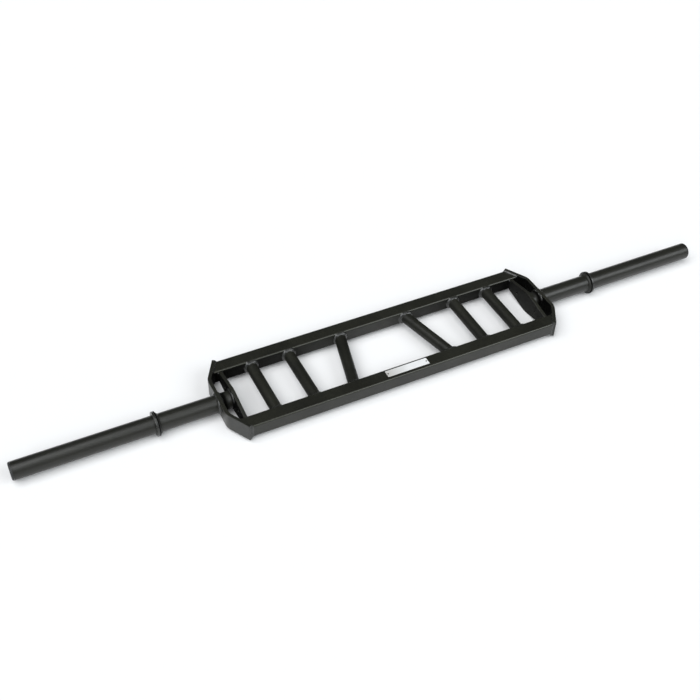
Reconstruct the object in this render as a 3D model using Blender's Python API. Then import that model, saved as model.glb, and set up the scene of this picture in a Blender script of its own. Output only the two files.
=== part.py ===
"""Swiss bar: a welded barbell whose frame holds six handles, two of them set at an angle.

Metres, +Z up. X runs along the bar to its right end, Y across the frame to the far rail, and the origin
is on the sleeves' axis at the middle of the bar. Lengths along X are chained outward from the middle, so
that a longer bay moves everything beyond it. Each shape is built once, for the right end or the far
side, and is turned half round for its twins. Pieces that are welded together stand FIT_GAP apart, and
the fillet welds that join them are pieces of their own.
"""

import math

import bmesh
import bpy
from mathutils import Matrix, Vector

# Handles, by their places along the bar
ANGLED_HANDLE_X = 0.1256
MIDDLE_HANDLE_STEP = 0.1334
OUTER_HANDLE_STEP = 0.110
HANDLE_ANGLE_DEGREES = 14.0
HANDLE_DIAMETER = 0.032
HANDLE_WALL = 0.003

# Rails
FRAME_WIDTH = 0.260
RAIL_WIDTH = 0.040
RAIL_HEIGHT = 0.040
RAIL_WALL = 0.003
RAIL_CORNER_RADIUS = 0.005

# Inner plates, from the outer handle's axis outward
END_BAY_LENGTH = 0.083
INNER_PLATE_THICKNESS = 0.0095
INNER_PLATE_END_HEIGHT = 0.034
INNER_PLATE_EYE_RIM = 0.00885
INNER_PLATE_EDGE_RADIUS = 0.0008
HANGING_HOLE_DIAMETER = 0.008
HANGING_HOLE_Y = 0.046
SPACER_LENGTH = 0.030

# Bent end plates
END_PLATE_THICKNESS = 0.0095
END_PLATE_MARGIN = 0.00125
END_PLATE_BEND_TO_RAIL = 0.022
END_PLATE_ANGLE_DEGREES = 30.0
END_PLATE_BEND_RADIUS = 0.0305
END_PLATE_OVERHANG = 0.003
END_PLATE_EDGE_RADIUS = 0.0008

# Sleeves, collars and end caps
SLEEVE_DIAMETER = 0.0483
SLEEVE_WALL = 0.0037
NECK_LENGTH = 0.1615
LOADING_LENGTH = 0.3635
COLLAR_RIM = 0.00885
COLLAR_THICKNESS = 0.009
COLLAR_EDGE_RADIUS = 0.0015
CAP_HEAD_LENGTH = 0.006
CAP_EDGE_RADIUS = 0.0056
CAP_PLUG_LENGTH = 0.018
CAP_PLUG_CHAMFER = 0.0015

# Welds
TUBE_WELD_LEG = 0.005
COLLAR_WELD_LEG = 0.0055
RAIL_WELD_LEG = 0.004
SEAM_WELD_LEG = 0.0045
LEAST_WELD_LEG = 0.0004
WELD_BULGE = 0.13
SEAM_WELD_TAPER = 0.4
WELD_EDGE_SHARE = 0.45

# Clearance between pieces that touch on the real bar
FIT_GAP = 0.0003

# Fineness of the round shapes
ROUND_STEPS = 40
SLEEVE_WELD_STEPS = 30
HANDLE_WELD_STEPS = 24
HOLE_STEPS = 24
CORNER_STEPS = 4
BEAD_FACETS = 3
SHARP_ANGLE = math.radians(32)

# Places that follow from the sizes above
HALF_TURN = math.pi
QUARTER_TURN = math.pi / 2
HANDLE_ANGLE = math.radians(HANDLE_ANGLE_DEGREES)
END_PLATE_ANGLE = math.radians(END_PLATE_ANGLE_DEGREES)
MIDDLE_HANDLE_X = ANGLED_HANDLE_X + MIDDLE_HANDLE_STEP
OUTER_HANDLE_X = MIDDLE_HANDLE_X + OUTER_HANDLE_STEP
INNER_PLATE_INNER_X = OUTER_HANDLE_X + END_BAY_LENGTH
INNER_PLATE_OUTER_X = INNER_PLATE_INNER_X + INNER_PLATE_THICKNESS
END_PLATE_INNER_X = INNER_PLATE_OUTER_X + SPACER_LENGTH
END_PLATE_X = END_PLATE_INNER_X + END_PLATE_THICKNESS
COLLAR_X = END_PLATE_X + NECK_LENGTH
CAP_X = COLLAR_X + COLLAR_THICKNESS + LOADING_LENGTH - CAP_HEAD_LENGTH
SLEEVE_RADIUS = SLEEVE_DIAMETER / 2
SLEEVE_BORE_RADIUS = SLEEVE_RADIUS - SLEEVE_WALL
END_PLATE_HEIGHT = SLEEVE_DIAMETER + 2 * END_PLATE_MARGIN
RAIL_Y = (FRAME_WIDTH - RAIL_WIDTH) / 2
RAIL_INNER_Y = FRAME_WIDTH / 2 - RAIL_WIDTH
END_PLATE_BEND_Y = RAIL_INNER_Y - END_PLATE_BEND_TO_RAIL
END_PLATE_END_Y = FRAME_WIDTH / 2 + END_PLATE_OVERHANG
HANDLES = (
    ("outer", OUTER_HANDLE_X, 0.0),
    ("middle", MIDDLE_HANDLE_X, 0.0),
    ("angled", ANGLED_HANDLE_X, HANDLE_ANGLE),
)

# Turns that stand a tube weld on a face: the tube leaves the face outward, inward or across the frame
LEAVES_OUTWARD = (QUARTER_TURN, 0, QUARTER_TURN)
LEAVES_INWARD = (QUARTER_TURN, 0, -QUARTER_TURN)
LEAVES_FAR_RAIL = (QUARTER_TURN, 0, 0)
LEAVES_NEAR_RAIL = (QUARTER_TURN, 0, HALF_TURN)


def clear_scene():
    for obj in list(bpy.data.objects):
        bpy.data.objects.remove(obj, do_unlink=True)


def make_material(name, color, roughness, metallic=0.0):
    material = bpy.data.materials.new(name)
    material.use_nodes = True
    shader = material.node_tree.nodes["Principled BSDF"]
    shader.inputs["Base Color"].default_value = (*color, 1.0)
    shader.inputs["Roughness"].default_value = roughness
    shader.inputs["Metallic"].default_value = metallic
    material.diffuse_color = (*color, 1.0)
    return material


def make_weld_coat(name):
    return make_material(name, (0.026, 0.027, 0.029), 0.42)


def make_empty(name, parent=None, location=(0, 0, 0), rotation=(0, 0, 0)):
    empty = bpy.data.objects.new(name, None)
    bpy.context.scene.collection.objects.link(empty)
    empty.parent = parent
    empty.location = location
    empty.rotation_euler = rotation
    return empty


def make_mesh(name, bm, material):
    """The mesh of a finished bmesh, with its faces turned out and its round stretches shaded smooth."""
    bmesh.ops.recalc_face_normals(bm, faces=bm.faces)
    mesh = bpy.data.meshes.new(name)
    bm.to_mesh(mesh)
    bm.free()
    mesh.shade_smooth()
    mesh.set_sharp_from_angle(angle=SHARP_ANGLE)
    mesh.materials.append(material)
    return mesh


def place(name, mesh, parent, location=(0, 0, 0), rotation=(0, 0, 0)):
    obj = bpy.data.objects.new(name, mesh)
    bpy.context.scene.collection.objects.link(obj)
    obj.parent = parent
    obj.location = location
    obj.rotation_euler = rotation
    return obj


def round_edges(obj, radius):
    """A small rounding on every long edge, as rolled flat bar has."""
    bevel = obj.modifiers.new("edge rounding", "BEVEL")
    bevel.width = radius
    bevel.segments = 2
    bevel.limit_method = "ANGLE"
    bevel.angle_limit = math.radians(40)


def arc(centre, radius, start, end, steps):
    """Points on a circle in the plane, from one angle to another, both ends included."""
    angles = [start + (end - start) * i / steps for i in range(steps + 1)]
    return [(centre[0] + radius * math.cos(a), centre[1] + radius * math.sin(a)) for a in angles]


def skin(bm, rings, closed):
    """Quads between neighbouring rings of points. An open run of rings gets a face at each end."""
    loops = [[bm.verts.new(point) for point in ring] for ring in rings]
    pairs = list(zip(loops, loops[1:]))
    if closed:
        pairs.append((loops[-1], loops[0]))
    for first, second in pairs:
        count = len(first)
        for i in range(count):
            j = (i + 1) % count
            bm.faces.new((first[i], first[j], second[j], second[i]))
    if not closed:
        bm.faces.new(loops[0])
        bm.faces.new(loops[-1])


def turned(name, profile, material, on_axis=False):
    """A profile of (x, radius) points spun about the X axis. It is a closed ring of points, or one that
    starts and ends on the axis."""
    bm = bmesh.new()
    verts = [bm.verts.new((x, 0, radius)) for x, radius in profile]
    ends = zip(verts, verts[1:] if on_axis else verts[1:] + verts[:1])
    edges = [bm.edges.new(pair) for pair in ends]
    bmesh.ops.spin(
        bm, geom=verts + edges, axis=(1, 0, 0), angle=2 * math.pi, steps=ROUND_STEPS, use_merge=True
    )
    bmesh.ops.remove_doubles(bm, verts=bm.verts, dist=1e-6)
    return make_mesh(name, bm, material)


def pipe(name, length, material):
    """A stretch of the sleeve stock, from x = 0."""
    profile = [
        (0, SLEEVE_RADIUS),
        (length, SLEEVE_RADIUS),
        (length, SLEEVE_BORE_RADIUS),
        (0, SLEEVE_BORE_RADIUS),
    ]
    return turned(name, profile, material)


def cut_plate(name, outline, step, material):
    """A flat outline of 3-D points pushed out along a step into a plate."""
    bm = bmesh.new()
    face = bm.faces.new([bm.verts.new(point) for point in outline])
    grown = bmesh.ops.extrude_face_region(bm, geom=[face])
    pushed = [v for v in grown["geom"] if isinstance(v, bmesh.types.BMVert)]
    bmesh.ops.translate(bm, verts=pushed, vec=step)
    return make_mesh(name, bm, material)


def edge_drop(y, half_width, radius):
    """How far a face whose edges are rounded has fallen away at y from its middle line."""
    past_flat = min(abs(y) - (half_width - radius), radius)
    return radius - math.sqrt(radius**2 - past_flat**2) if past_flat > 0 else 0.0


def fillet_crown(foot, leg):
    """How far the middle of a fillet's face stands out."""
    return (foot[-1] - foot[0] + leg) * WELD_BULGE


def bead(name, stations, closed, material):
    """A weld in a corner. Each station is a foot, the points from the corner out to the toe on one piece,
    the leg up the other piece, and the crown of the face between toe and leg."""
    rings = []
    for foot, leg, crown in stations:
        ring = list(foot)
        for i in range(1, BEAD_FACETS + 1):
            t = i / BEAD_FACETS
            ring.append(foot[-1].lerp(foot[0] + leg, t) + crown * 4 * t * (1 - t))
        rings.append(ring)
    bm = bmesh.new()
    skin(bm, rings, closed)
    return make_mesh(name, bm, material)


def tube_weld(name, radius, angle, leg, steps, material, face=None):
    """The weld round a tube that stands on the plane z = 0 and leans by an angle towards +X. A face, given
    as its half width along Y and the radius of its rounded edges, shortens the legs that would pass its
    edge, and the weld's foot follows the rounding."""
    axis = Vector((math.sin(angle), 0, math.cos(angle)))
    across = Vector((math.cos(angle), 0, -math.sin(angle)))
    clear_radius = radius + FIT_GAP
    stations = []
    for i in range(steps):
        turn = 2 * math.pi * i / steps
        normal = across * math.cos(turn) + Vector((0, math.sin(turn), 0))
        rise = (FIT_GAP - clear_radius * normal.z) / math.cos(angle)
        root = normal * clear_radius + axis * rise
        outward = Vector((normal.x, normal.y, 0)).normalized()
        face_leg = leg
        if face:
            half_width, edge_radius = face
            room = half_width - WELD_EDGE_SHARE * edge_radius - abs(root.y)
            if room < leg * abs(outward.y):
                face_leg = max(LEAST_WELD_LEG, room / abs(outward.y))
        foot = [root + outward * face_leg * share for share in (0, 0.5, 1)]
        if face:
            for point in foot:
                point.z -= edge_drop(point.y, half_width, edge_radius)
        up_tube = axis * (leg + face_leg) / 2
        stations.append((foot, up_tube, fillet_crown(foot, up_tube)))
    return bead(name, stations, True, material)


def rounded_box_section(width, height, radius):
    """(point, normal) pairs round a box section, in the plane of its width and height."""
    points = []
    for corner, (sy, sz) in enumerate(((1, 1), (-1, 1), (-1, -1), (1, -1))):
        centre = (sy * (width / 2 - radius), sz * (height / 2 - radius))
        start = corner * QUARTER_TURN
        normals = arc((0, 0), 1.0, start, start + QUARTER_TURN, CORNER_STEPS)
        points += [((centre[0] + radius * n[0], centre[1] + radius * n[1]), n) for n in normals]
    return points


def rail_end_x(y):
    """Where the far rail's mitred right end stops, at a distance y from the rail's middle."""
    outer_face = END_PLATE_X - (RAIL_Y + y - END_PLATE_BEND_Y) * math.tan(END_PLATE_ANGLE)
    return outer_face - (END_PLATE_THICKNESS + FIT_GAP) / math.cos(END_PLATE_ANGLE)


def rail_mesh(material):
    """Box tube with both ends cut to lie against the end plates' angled wings."""
    outer = rounded_box_section(RAIL_WIDTH, RAIL_HEIGHT, RAIL_CORNER_RADIUS)
    inner = rounded_box_section(
        RAIL_WIDTH - 2 * RAIL_WALL, RAIL_HEIGHT - 2 * RAIL_WALL, RAIL_CORNER_RADIUS - RAIL_WALL
    )
    rings = []
    for section, side in ((outer, -1), (outer, 1), (inner, 1), (inner, -1)):
        rings.append([(side * rail_end_x(y), y, z) for (y, z), _ in section])
    bm = bmesh.new()
    skin(bm, rings, True)
    return make_mesh("rail", bm, material)


def rail_weld_mesh(material):
    """The weld round a rail's mitred end. Its origin is on the plate's face, in line with the rail's
    middle. The leg on the plate is shorter where the plate's upper or lower edge is near. On the rail's
    outer side the plate ends, and the weld folds over onto the plate's square end. A flat foot's middle
    point is close to its toe, so that the faces from there to a folded foot pass the plate's corner."""
    slope = math.tan(END_PLATE_ANGLE)
    into_plate = Vector((math.cos(END_PLATE_ANGLE), math.sin(END_PLATE_ANGLE), 0))
    along_rail = Vector((-RAIL_WELD_LEG, 0, 0))
    half_height = END_PLATE_HEIGHT / 2 - END_PLATE_EDGE_RADIUS
    plate_end_y = END_PLATE_END_Y - END_PLATE_THICKNESS * into_plate.y - RAIL_Y
    fold_y = plate_end_y + FIT_GAP * into_plate.x
    stations = []
    for (y, z), (ny, nz) in rounded_box_section(RAIL_WIDTH, RAIL_HEIGHT, RAIL_CORNER_RADIUS):
        normal = Vector((0, ny, nz))
        root = Vector((0, y, z)) + normal * FIT_GAP
        root.x = -root.y * slope - FIT_GAP / into_plate.x
        outward = (normal - into_plate * normal.dot(into_plate)).normalized()
        plate_leg = RAIL_WELD_LEG
        room = half_height - abs(root.z)
        if room < plate_leg * abs(outward.z):
            plate_leg = max(LEAST_WELD_LEG, room / abs(outward.z))
        toe = root + outward * plate_leg
        foot = [root, toe - outward * FIT_GAP, toe]
        crown = fillet_crown(foot, along_rail)
        if toe.y > fold_y:
            to_fold = (fold_y - root.y) / outward.y
            fold = root + outward * to_fold + into_plate * FIT_GAP / 2
            past_fold = plate_leg - max(0, to_fold)
            across_end = into_plate * outward.xy.length + Vector((0, 0, outward.z))
            foot = [root, fold, fold + across_end * past_fold]
            crown = normal * 2 * WELD_BULGE * RAIL_WELD_LEG
        stations.append((foot, along_rail, crown))
    return bead("rail weld", stations, True, material)


def handle_mesh(name, angle, material):
    """A straight tube through the origin that leans by an angle, cut along both rails' inner faces."""
    axis = Vector((-math.sin(angle), math.cos(angle), 0))
    across = Vector((math.cos(angle), math.sin(angle), 0))
    end_y = RAIL_INNER_Y - FIT_GAP
    outer_radius = HANDLE_DIAMETER / 2
    inner_radius = outer_radius - HANDLE_WALL
    rings = []
    for radius, side in ((outer_radius, -1), (outer_radius, 1), (inner_radius, 1), (inner_radius, -1)):
        ring = []
        for x_part, z_part in arc((0, 0), radius, 0, 2 * math.pi, ROUND_STEPS)[:-1]:
            point = across * x_part + Vector((0, 0, z_part))
            ring.append(point + axis * ((side * end_y - point.y) / math.cos(angle)))
        rings.append(ring)
    bm = bmesh.new()
    skin(bm, rings, True)
    return make_mesh(name, bm, material)


def end_plate_mesh(material):
    """Flat bar bent twice round a large radius, with square ends. Its origin is on the middle of its outer
    face."""
    outer_radius = END_PLATE_BEND_RADIUS + END_PLATE_THICKNESS
    centre = (-outer_radius, END_PLATE_BEND_Y - outer_radius * math.tan(END_PLATE_ANGLE / 2))
    end_x = -(END_PLATE_END_Y - END_PLATE_BEND_Y) * math.tan(END_PLATE_ANGLE)
    depth_x = END_PLATE_THICKNESS * math.cos(END_PLATE_ANGLE)
    depth_y = END_PLATE_THICKNESS * math.sin(END_PLATE_ANGLE)
    half = arc(centre, outer_radius, 0, END_PLATE_ANGLE, CORNER_STEPS)
    half += [(end_x, END_PLATE_END_Y), (end_x - depth_x, END_PLATE_END_Y - depth_y)]
    half += arc(centre, END_PLATE_BEND_RADIUS, END_PLATE_ANGLE, 0, CORNER_STEPS)
    outline = half + [(x, -y) for x, y in reversed(half)]
    points = [(x, y, -END_PLATE_HEIGHT / 2) for x, y in outline]
    return cut_plate("end plate", points, (0, 0, END_PLATE_HEIGHT), material)


def inner_plate_mesh(material):
    """A lens: straight tapers from each rail that run on to an eye round the spacer tube. It starts at
    x = 0 and its thickness goes to -X."""
    end_y = RAIL_INNER_Y - FIT_GAP
    end_z = INNER_PLATE_END_HEIGHT / 2
    eye_radius = SLEEVE_RADIUS + INNER_PLATE_EYE_RIM
    tangent = math.atan2(end_z, end_y) + math.acos(eye_radius / math.hypot(end_y, end_z))
    top = [(end_y, end_z)]
    top += arc((0, 0), eye_radius, tangent, HALF_TURN - tangent, 2 * CORNER_STEPS)
    top += [(-end_y, end_z)]
    points = [(0, y, z) for y, z in top] + [(0, -y, -z) for y, z in top]
    return cut_plate("inner plate", points, (-INNER_PLATE_THICKNESS, 0, 0), material)


def hole_cutter_mesh(material):
    """Two pins along X that cut the inner plate's hanging holes."""
    bm = bmesh.new()
    along_x = Matrix.Rotation(QUARTER_TURN, 4, "Y")
    for side in (-1, 1):
        bmesh.ops.create_cone(
            bm,
            cap_ends=True,
            segments=HOLE_STEPS,
            radius1=HANGING_HOLE_DIAMETER / 2,
            radius2=HANGING_HOLE_DIAMETER / 2,
            depth=3 * INNER_PLATE_THICKNESS,
            matrix=Matrix.Translation((0, side * HANGING_HOLE_Y, 0)) @ along_x,
        )
    return make_mesh("hole cutter", bm, material)


def seam_weld_mesh(material):
    """An upright weld in the corner between an inner plate and a rail. It leaves along +X and -Y, and
    tapers at both ends."""
    half = INNER_PLATE_END_HEIGHT / 2 - INNER_PLATE_EDGE_RADIUS
    full = half - SEAM_WELD_LEG
    stations = []
    for z, share in ((-half, SEAM_WELD_TAPER), (-full, 1), (full, 1), (half, SEAM_WELD_TAPER)):
        leg = SEAM_WELD_LEG * share
        foot = [Vector((FIT_GAP, -FIT_GAP, z)), Vector((FIT_GAP + leg, -FIT_GAP, z))]
        along_plate = Vector((0, -leg, 0))
        stations.append((foot, along_plate, fillet_crown(foot, along_plate)))
    return bead("seam weld", stations, False, material)


def collar_mesh(material):
    edge = COLLAR_EDGE_RADIUS
    rim_radius = SLEEVE_RADIUS + COLLAR_RIM
    bore = SLEEVE_RADIUS + FIT_GAP
    profile = [(0, bore)]
    profile += arc((edge, rim_radius - edge), edge, HALF_TURN, QUARTER_TURN, 2)
    profile += arc((COLLAR_THICKNESS - edge, rim_radius - edge), edge, QUARTER_TURN, 0, 2)
    profile += [(COLLAR_THICKNESS, bore)]
    return turned("collar", profile, material)


def end_cap_mesh(material):
    """A round-edged head as wide as the sleeve, on a plug that goes into the sleeve's bore. The head
    starts at x = 0."""
    plug = SLEEVE_BORE_RADIUS - FIT_GAP
    profile = [
        (-CAP_PLUG_LENGTH, 0),
        (-CAP_PLUG_LENGTH, plug - CAP_PLUG_CHAMFER),
        (CAP_PLUG_CHAMFER - CAP_PLUG_LENGTH, plug),
        (0, plug),
        (0, SLEEVE_RADIUS),
    ]
    edge_centre = (CAP_HEAD_LENGTH - CAP_EDGE_RADIUS, SLEEVE_RADIUS - CAP_EDGE_RADIUS)
    profile += arc(edge_centre, CAP_EDGE_RADIUS, QUARTER_TURN, 0, CORNER_STEPS)
    profile += [(CAP_HEAD_LENGTH, 0)]
    return turned("end cap", profile, material, on_axis=True)


def build_rails(bar):
    coat = make_material("rail_coat", (0.022, 0.023, 0.025), 0.46)
    mesh = rail_mesh(coat)
    place("rail_far", mesh, bar, (0, RAIL_Y, 0))
    place("rail_near", mesh, bar, (0, -RAIL_Y, 0), (0, 0, HALF_TURN))


def build_handles(ends):
    coat = make_material("handle_coat", (0.020, 0.021, 0.023), 0.50)
    weld_coat = make_weld_coat("handle_weld_coat")
    rail_face = (RAIL_HEIGHT / 2, RAIL_CORNER_RADIUS)
    for kind, x, angle in HANDLES:
        tube = handle_mesh(f"{kind} handle", angle, coat)
        weld = tube_weld(
            f"{kind} handle weld",
            HANDLE_DIAMETER / 2,
            angle,
            TUBE_WELD_LEG,
            HANDLE_WELD_STEPS,
            weld_coat,
            rail_face,
        )
        shift = RAIL_INNER_Y * math.tan(angle)
        for side, end in ends.items():
            name = f"handle_{kind}_{side}"
            middle = make_empty(f"{name}_middle", end, (x, 0, 0))
            place(name, tube, middle)
            place(f"weld_{name}_far", weld, middle, (-shift, RAIL_INNER_Y, 0), LEAVES_FAR_RAIL)
            place(f"weld_{name}_near", weld, middle, (shift, -RAIL_INNER_Y, 0), LEAVES_NEAR_RAIL)


def build_end_plates(ends):
    coat = make_material("end_plate_coat", (0.024, 0.025, 0.027), 0.44)
    plate = end_plate_mesh(coat)
    weld = rail_weld_mesh(make_weld_coat("rail_weld_coat"))
    weld_x = rail_end_x(0) + FIT_GAP / math.cos(END_PLATE_ANGLE)
    for side, end in ends.items():
        obj = place(f"end_plate_{side}", plate, end, (END_PLATE_X, 0, 0))
        round_edges(obj, END_PLATE_EDGE_RADIUS)
        place(f"weld_rail_far_{side}", weld, end, (weld_x, RAIL_Y, 0))
        place(f"weld_rail_near_{side}", weld, end, (weld_x, -RAIL_Y, 0), (HALF_TURN, 0, 0))


def build_inner_plates(ends):
    coat = make_material("inner_plate_coat", (0.021, 0.022, 0.024), 0.48)
    plate = inner_plate_mesh(coat)
    pins = hole_cutter_mesh(coat)
    weld = seam_weld_mesh(make_weld_coat("inner_plate_weld_coat"))
    for side, end in ends.items():
        name = f"inner_plate_{side}"
        obj = place(name, plate, end, (INNER_PLATE_OUTER_X, 0, 0))
        round_edges(obj, INNER_PLATE_EDGE_RADIUS)
        cutter = place(f"{name}_holes", pins, obj)
        cutter.hide_render = True
        cutter.display_type = "WIRE"
        cut = obj.modifiers.new("holes", "BOOLEAN")
        cut.operation = "DIFFERENCE"
        cut.object = cutter
        for face, x, far_turn, near_turn in (
            ("outboard", INNER_PLATE_OUTER_X, (0, 0, 0), (HALF_TURN, 0, 0)),
            ("inboard", INNER_PLATE_INNER_X, (0, HALF_TURN, 0), (0, 0, HALF_TURN)),
        ):
            place(f"weld_{name}_far_{face}", weld, end, (x, RAIL_INNER_Y, 0), far_turn)
            place(f"weld_{name}_near_{face}", weld, end, (x, -RAIL_INNER_Y, 0), near_turn)


def build_sleeves(ends):
    coat = make_material("sleeve_coat", (0.024, 0.025, 0.027), 0.44)
    weld_coat = make_weld_coat("sleeve_weld_coat")
    sleeve = pipe("sleeve", CAP_X - END_PLATE_X - 2 * FIT_GAP, coat)
    spacer = pipe("spacer tube", SPACER_LENGTH - 2 * FIT_GAP, coat)
    plate_face = (END_PLATE_HEIGHT / 2, END_PLATE_EDGE_RADIUS)
    size = (SLEEVE_RADIUS, 0, TUBE_WELD_LEG, SLEEVE_WELD_STEPS)
    plate_weld = tube_weld("plate weld", *size, weld_coat, plate_face)
    eye_weld = tube_weld("eye weld", *size, weld_coat)
    for side, end in ends.items():
        place(f"sleeve_{side}", sleeve, end, (END_PLATE_X + FIT_GAP, 0, 0))
        place(f"spacer_tube_{side}", spacer, end, (INNER_PLATE_OUTER_X + FIT_GAP, 0, 0))
        place(f"weld_sleeve_{side}", plate_weld, end, (END_PLATE_X, 0, 0), LEAVES_OUTWARD)
        place(f"weld_spacer_{side}_outboard", plate_weld, end, (END_PLATE_INNER_X, 0, 0), LEAVES_INWARD)
        place(f"weld_spacer_{side}_inboard", eye_weld, end, (INNER_PLATE_OUTER_X, 0, 0), LEAVES_OUTWARD)


def build_collars_and_caps(ends):
    coat = make_material("collar_coat", (0.024, 0.025, 0.027), 0.42)
    plastic = make_material("end_cap_plastic", (0.018, 0.019, 0.020), 0.55)
    collar = collar_mesh(coat)
    weld_coat = make_weld_coat("collar_weld_coat")
    weld = tube_weld("collar weld", SLEEVE_RADIUS, 0, COLLAR_WELD_LEG, SLEEVE_WELD_STEPS, weld_coat)
    cap = end_cap_mesh(plastic)
    for side, end in ends.items():
        place(f"collar_{side}", collar, end, (COLLAR_X, 0, 0))
        place(f"weld_collar_{side}", weld, end, (COLLAR_X, 0, 0), LEAVES_INWARD)
        place(f"end_cap_{side}", cap, end, (CAP_X, 0, 0))


def build():
    clear_scene()
    bar = make_empty("bar_middle")
    ends = {
        "right": make_empty("right_end", bar),
        "left": make_empty("left_end", bar, rotation=(0, HALF_TURN, 0)),
    }
    build_rails(bar)
    build_handles(ends)
    build_end_plates(ends)
    build_inner_plates(ends)
    build_sleeves(ends)
    build_collars_and_caps(ends)


build()
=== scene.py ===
"""Looks of the swiss bar: every piece again in fine mesh, coated, on a pale studio floor.

Metres, +Z up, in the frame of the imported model. Each piece takes its size and place from the box of the
CAD node that it stands for. Shapes are made once for the right end or the far side, in the bar's own
frame, and are turned half round for their twins. The weld beads are rippled, and each is a little
different from the next.
"""

import math
import random

import bmesh
import bpy
from mathutils import Matrix, Vector


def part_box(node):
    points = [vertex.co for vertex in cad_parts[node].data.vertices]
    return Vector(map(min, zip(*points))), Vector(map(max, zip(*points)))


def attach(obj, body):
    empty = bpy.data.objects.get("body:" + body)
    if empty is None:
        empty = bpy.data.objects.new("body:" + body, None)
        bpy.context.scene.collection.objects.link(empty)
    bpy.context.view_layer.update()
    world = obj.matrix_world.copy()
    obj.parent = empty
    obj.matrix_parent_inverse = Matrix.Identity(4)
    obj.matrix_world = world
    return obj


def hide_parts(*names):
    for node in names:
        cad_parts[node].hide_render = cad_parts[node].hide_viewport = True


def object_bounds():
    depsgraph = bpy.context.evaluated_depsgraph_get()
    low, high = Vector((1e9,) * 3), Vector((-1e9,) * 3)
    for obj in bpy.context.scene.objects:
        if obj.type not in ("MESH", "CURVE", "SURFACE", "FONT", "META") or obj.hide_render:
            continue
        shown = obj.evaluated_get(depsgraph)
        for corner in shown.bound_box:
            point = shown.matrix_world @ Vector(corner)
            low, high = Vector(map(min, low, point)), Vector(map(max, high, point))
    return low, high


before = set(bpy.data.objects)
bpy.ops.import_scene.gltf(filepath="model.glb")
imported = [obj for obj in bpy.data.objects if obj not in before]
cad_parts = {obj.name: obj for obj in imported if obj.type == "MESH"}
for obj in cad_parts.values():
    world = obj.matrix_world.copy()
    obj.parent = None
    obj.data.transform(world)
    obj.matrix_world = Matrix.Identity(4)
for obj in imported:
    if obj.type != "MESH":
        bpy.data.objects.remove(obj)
cad_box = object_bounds()

# Sizes that a node's box doesn't give
RAIL_CORNER_RADIUS = 0.005
RAIL_WALL = 0.003
HANDLE_WALL = 0.003
SLEEVE_WALL = 0.0037
HANDLE_ANGLE = math.radians(14)
END_PLATE_ANGLE = math.radians(30)
END_PLATE_THICKNESS = 0.0095
END_PLATE_BEND_TO_RAIL = 0.022
END_PLATE_BEND_RADIUS = 0.0305
PLATE_EDGE_RADIUS = 0.0009
INNER_PLATE_END_HEIGHT = 0.034
HANGING_HOLE_RADIUS = 0.004
HANGING_HOLE_Y = 0.046
TUBE_LIP_RADIUS = 0.0005
COLLAR_EDGE_RADIUS = 0.0015
CAP_HEAD_LENGTH = 0.006
CAP_EDGE_RADIUS = 0.0056
CAP_FOOT_RADIUS = 0.0005
CAP_PLUG_CHAMFER = 0.0015
FIT_GAP = 0.0003

# Weld beads
SLEEVE_WELD_LEG = 0.005
HANDLE_WELD_LEG = 0.0062
COLLAR_WELD_LEG = 0.0055
RAIL_WELD_LEG = 0.004
SEAM_WELD_LEG = 0.0045
LEAST_WELD_LEG = 0.0008
SEAM_END_TAPER = 0.6
WELD_BULGE = 0.13
WELD_EDGE_SHARE = 0.12
WELD_SINK = 0.0004
RIPPLE_PITCH = 0.0024
RIPPLE_DEPTH = 0.00032
RIPPLE_CURL = 0.35
RIPPLE_UNEVENNESS = 0.12
RIPPLE_SHARPNESS = 0.6
RIPPLE_MARGIN = 0.08
RIPPLE_STEPS = 6
BEAD_FACETS = 9
LEG_WOBBLE = 0.07
WOBBLE_WAVES = 6
WOBBLE_TURNS = (2, 13)
WOBBLE_LEAST_WAVE = 0.4
RESTART_SWELL = 0.16
RESTART_LENGTH = 0.006
SEAM_RESTARTS, HANDLE_RESTARTS, LONG_BEAD_RESTARTS = 1, 2, 3

# Painted shade inside the frame: a darker tone and a weaker sheen there, and a duller coat
INSIDE_X = 0.4925
INSIDE_Y = 0.0902
WING_Y = 0.068
RECESS_BLEND = 0.0008
RECESS_SHADE_TONE = 0.12
RECESS_SHADE_SHEEN = 0.08
RECESS_DULLNESS = 0.6
# Painted shade on each collar's inner face, out at its rim: how near to the bar's middle, and how far from
# its axis
COLLAR_SHADE_BAND = (0.6652, 0.0316)
ALL_ROUND = (2.0, 1.5)  # slopes that no face reaches, so that every face counts as upright

# The coat's patterns, from wide to fine: scale per metre, detail and roughness of the noise
CLOUDS = (9.0, 3.0, 0.5)
SPECK_AREAS = (38.0, 2.0, 0.5)
SMUDGES = (70.0, 4.0, 0.6)
BLOTCHES = (330.0, 5.0, 0.8)
PEEL = (850.0, 2.0, 0.45)
DUST = (2300.0, 1.0, 0.5)
SPECK_SCALE = 260.0
SPECK_SIZE = (0.07, 0.16)

# The part of each noise's range that counts
MIDDLE_RANGE = (0.3, 0.7)
NARROW_RANGE = (0.35, 0.65)
SPECK_AREA_RANGE = (0.60, 0.68)

# What the patterns do to the coat's tone, gloss and height
CLOUD_SHARE, SMUDGE_SHARE, BLOTCH_SHARE = 0.3, 0.2, 0.5
TONE_RANGE = (0.41, 0.59)
BLOTCH_DARKER = 0.45
BLOTCH_LIGHTER = 0.5
# Lighter tone on the edges: partly a thinner coat, partly a painted highlight
THIN_COAT_AND_HIGHLIGHT_TONE = 2.6
SPECK_TONE = 3.0
SPECK_STRENGTH = 0.6
SMUDGE_GLOSS = (0.05, -0.04)
DUST_GLOSS = 0.03
BLOTCH_GLOSS = 0.07
EDGE_GLOSS = 0.14
DUST_HEIGHT = 0.25
BLOTCH_HEIGHT = 1.2
SPECK_HEIGHT = 0.5
COAT_BUMP = 0.55
COAT_BUMP_HEIGHT = 0.00007
COAT_IOR = 1.52

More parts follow.
